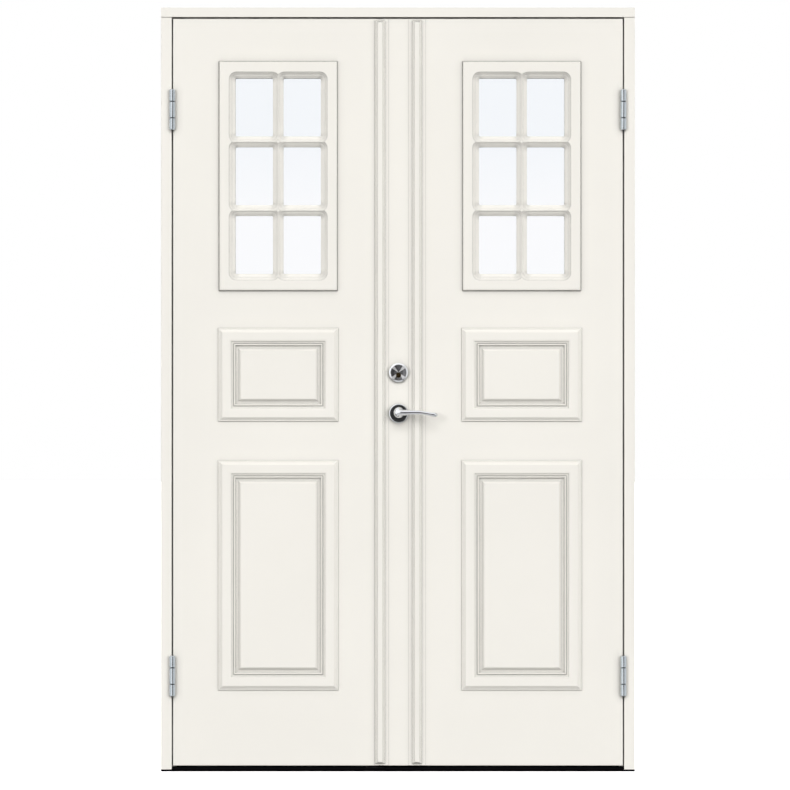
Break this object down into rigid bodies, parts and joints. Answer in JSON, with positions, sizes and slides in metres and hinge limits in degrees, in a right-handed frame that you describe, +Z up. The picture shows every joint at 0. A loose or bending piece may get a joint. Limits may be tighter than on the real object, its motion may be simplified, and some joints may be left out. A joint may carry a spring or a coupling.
{
  "type": "french doors",
  "caption": "Outward-opening pair of painted panelled entrance doors of unequal width in a timber frame, each with a glazed grid above two moulded panels.",
  "frame": {"origin": "centre of the sill's bottom face", "axes": "+Z up; -Y towards the outside, where the leaves swing; +X to the right seen from outside"},
  "size_m": [1.29, 0.1778, 2.08],
  "materials": {
    "frame_paint": "satin",
    "leaf_paint": "satin",
    "leaf_timber": "matte",
    "core_board": "matte",
    "window_moulding": "satin",
    "panel_moulding": "satin",
    "window_glass": "gloss",
    "spacer_metal": "satin",
    "seal_rubber": "matte",
    "hinge_zinc": "satin",
    "lock_steel": "satin",
    "handle_chrome": "polished",
    "cylinder_brass": "satin",
    "threshold_black": "satin",
    "base_black": "matte"
  },
  "bodies": {
    "frame": {"frame_head": "frame_paint", "frame_jamb_left": "frame_paint", "frame_jamb_right": "frame_paint", "threshold": "threshold_black", "threshold_base_strip": "base_black", "frame_seal": "seal_rubber", "threshold_seal": "seal_rubber", "head_bolt_keeper": "lock_steel", "threshold_bolt_keeper": "lock_steel", "frame_fixing_sleeves": "lock_steel", "left_hinge_frame_plates": "hinge_zinc", "right_hinge_frame_plates": "hinge_zinc", "hinge_pins": "hinge_zinc"},
    "left_leaf": {"left_leaf_frame": "leaf_timber", "left_leaf_core": "core_board", "left_outer_skin": "leaf_paint", "left_inner_skin": "leaf_paint", "left_window_outer_grid": "window_moulding", "left_window_inner_grid": "window_moulding", "left_glass_panes": "window_glass", "left_glass_spacers": "spacer_metal", "left_glazing_seals": "seal_rubber", "left_upper_panel": "panel_moulding", "left_lower_panel": "panel_moulding", "left_hinge_leaf_plates": "hinge_zinc", "strike_plate": "lock_steel", "flush_bolt_cases": "lock_steel", "meeting_seal": "seal_rubber"},
    "right_leaf": {"right_leaf_frame": "leaf_timber", "right_leaf_core": "core_board", "right_outer_skin": "leaf_paint", "right_inner_skin": "leaf_paint", "right_window_outer_grid": "window_moulding", "right_window_inner_grid": "window_moulding", "right_glass_panes": "window_glass", "right_glass_spacers": "spacer_metal", "right_glazing_seals": "seal_rubber", "right_upper_panel": "panel_moulding", "right_lower_panel": "panel_moulding", "right_hinge_leaf_plates": "hinge_zinc", "astragal": "panel_moulding", "lock_stile_bead": "panel_moulding", "lock_case": "lock_steel", "lock_faceplate": "lock_steel", "outer_rosette": "handle_chrome", "inner_rosette": "handle_chrome", "cylinder_ring": "handle_chrome", "cylinder_body": "cylinder_brass", "thumbturn_rosette": "handle_chrome"},
    "handle": {"outer_lever": "handle_chrome", "inner_lever": "handle_chrome", "spindle": "lock_steel", "lock_follower": "lock_steel"},
    "latch_bolt": {"latch_bolt": "lock_steel"},
    "dead_bolt": {"dead_bolt": "lock_steel"},
    "key_plug": {"key_plug": "cylinder_brass"},
    "thumbturn": {"thumbturn": "handle_chrome"},
    "upper_flush_bolt": {"upper_flush_bolt": "lock_steel"},
    "lower_flush_bolt": {"lower_flush_bolt": "lock_steel"}
  },
  "joints": [
    {"name": "right_leaf_swing", "type": "hinge", "parent": "frame", "child": "right_leaf", "pos_m": [0.614, -0.0615, 0], "axis": [0, 0, 1], "range_deg": [0, 110]},
    {"name": "left_leaf_swing", "type": "hinge", "parent": "frame", "child": "left_leaf", "pos_m": [-0.614, -0.0615, 0], "axis": [0, 0, -1], "range_deg": [0, 110]},
    {"name": "lever_turn", "type": "hinge", "parent": "right_leaf", "child": "handle", "pos_m": [0.0015, 0, 0.975], "axis": [0, 1, 0], "range_deg": [0, 45], "stiffness_Nm_per_rad": 0.8, "springref_deg": -34.38},
    {"name": "latch_slide", "type": "slide", "parent": "right_leaf", "child": "latch_bolt", "axis": [-1, 0, 0], "range_m": [0, 0.014]},
    {"name": "thumbturn_turn", "type": "hinge", "parent": "right_leaf", "child": "thumbturn", "pos_m": [0.0015, 0, 1.079], "axis": [0, 1, 0], "range_deg": [0, 90]},
    {"name": "deadbolt_slide", "type": "slide", "parent": "right_leaf", "child": "dead_bolt", "axis": [-1, 0, 0], "range_m": [0, 0.0221]},
    {"name": "key_plug_turn", "type": "hinge", "parent": "right_leaf", "child": "key_plug", "pos_m": [0.0015, 0, 1.079], "axis": [0, 1, 0], "range_deg": [0, 90]},
    {"name": "upper_flush_bolt_slide", "type": "slide", "parent": "left_leaf", "child": "upper_flush_bolt", "axis": [0, 0, 1], "range_m": [0, 0.02]},
    {"name": "lower_flush_bolt_slide", "type": "slide", "parent": "left_leaf", "child": "lower_flush_bolt", "axis": [0, 0, -1], "range_m": [0, 0.012]}
  ],
  "couplings": [
    {"joint": "left_leaf_swing", "follows": "right_leaf_swing", "ratio": 1},
    {"joint": "deadbolt_slide", "follows": "thumbturn_turn", "m_per_rad": 0.014}
  ]
}
